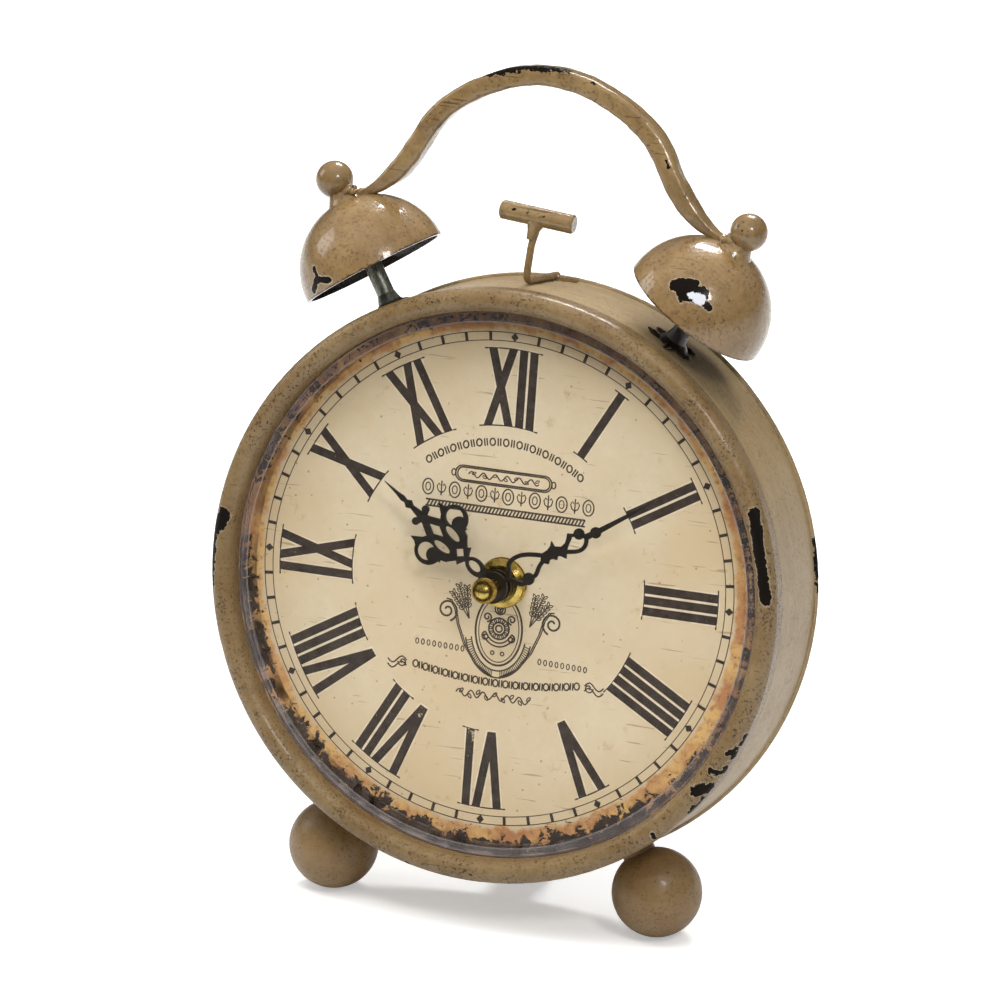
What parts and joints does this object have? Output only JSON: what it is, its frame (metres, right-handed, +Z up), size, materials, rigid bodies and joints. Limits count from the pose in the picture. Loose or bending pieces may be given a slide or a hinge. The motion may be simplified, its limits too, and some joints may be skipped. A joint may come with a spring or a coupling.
{
  "type": "alarm clock",
  "caption": "Twin-bell table clock: round drum leaned back on ball feet and a rear prop, arched handle, dummy hammer, Roman dial, quartz movement.",
  "frame": {"origin": "bottom centre of the bounding box: on the table, midway across and front to back", "axes": "+Z up, -Y the front that the dial faces (leaned back 11.5 degrees), +X to the right as seen from the front"},
  "size_m": [0.1584, 0.069, 0.224],
  "materials": {
    "case_paint": "aged enamel",
    "bell_paint": "gloss enamel, aged",
    "post_steel": "dull bare steel",
    "hand_black": "satin black",
    "brass": "polished brass",
    "lens_clear": "clear moulded plastic",
    "dial_print": "aged printed paper",
    "plate_steel": "plated sheet",
    "cover_paint": "aged enamel",
    "screw_steel": "plated steel",
    "movement_black": "moulded",
    "gear_white": "moulded",
    "knob_plastic": "moulded",
    "cell_jacket": "printed jacket",
    "contact_nickel": "nickel plated",
    "copper_wire": "enamelled copper wire",
    "board_green": "solder mask",
    "rubber_black": "soft"
  },
  "bodies": {
    "case": {"battery": "cell_jacket", "circuit_board": "board_green", "coil_bobbin": "movement_black", "coil_winding": "copper_wire", "dial_clips": "plate_steel", "dial_paper": "dial_print", "dial_plate": "plate_steel", "drum_shell": "case_paint", "foot_screws": "screw_steel", "front_bezel": "case_paint", "hammer_head": "bell_paint", "hammer_stalk": "bell_paint", "hammer_weld_plate": "case_paint", "handle": "bell_paint", "hub_nut": "brass", "hub_washer": "brass", "left_ball_foot": "case_paint", "left_bell": "bell_paint", "left_bell_post": "post_steel", "left_finial": "bell_paint", "lens": "lens_clear", "middle_plate": "gear_white", "movement_front_case": "movement_black", "movement_rear_case": "movement_black", "negative_contact": "contact_nickel", "positive_contact": "contact_nickel", "prop_pad": "rubber_black", "prop_rivets": "screw_steel", "quartz_crystal": "contact_nickel", "rear_cover": "cover_paint", "rear_cover_screws": "screw_steel", "rear_prop": "case_paint", "right_ball_foot": "case_paint", "right_bell": "bell_paint", "right_bell_post": "post_steel", "right_finial": "bell_paint", "rubber_washer": "rubber_black", "stator": "plate_steel"},
    "minute": {"minute_arbor": "brass", "minute_hand": "hand_black", "minute_collet": "hand_black", "cap_ball": "brass"},
    "hour": {"hour_wheel": "gear_white", "hour_hand": "hand_black", "hour_collet": "hand_black"},
    "motion": {"motion_wheel": "gear_white"},
    "knob": {"setting_knob": "knob_plastic"},
    "rotor_body": {"rotor": "plate_steel"}
  },
  "joints": [
    {"name": "minute_spin", "type": "hinge", "parent": "case", "child": "minute", "pos_m": [0, -0.01533, 0.09263], "axis": [0, 0.9799, -0.1994], "continuous": true},
    {"name": "hour_spin", "type": "hinge", "parent": "case", "child": "hour", "pos_m": [0, -0.01533, 0.09263], "axis": [0, 0.9799, -0.1994], "continuous": true},
    {"name": "motion_spin", "type": "hinge", "parent": "case", "child": "motion", "pos_m": [0, 0.00078, 0.1016], "axis": [0, 0.9799, -0.1994], "continuous": true},
    {"name": "knob_spin", "type": "hinge", "parent": "case", "child": "knob", "pos_m": [0.012, 0.00078, 0.1016], "axis": [0, 0.9799, -0.1994], "continuous": true},
    {"name": "rotor_spin", "type": "hinge", "parent": "case", "child": "rotor_body", "pos_m": [-0.011, 0.0035, 0.09492], "axis": [0, 0.9799, -0.1994], "continuous": true}
  ],
  "couplings": [
    {"joint": "hour_spin", "follows": "minute_spin", "ratio": 0.083333},
    {"joint": "motion_spin", "follows": "minute_spin", "ratio": -0.33333},
    {"joint": "knob_spin", "follows": "minute_spin", "ratio": 1}
  ]
}
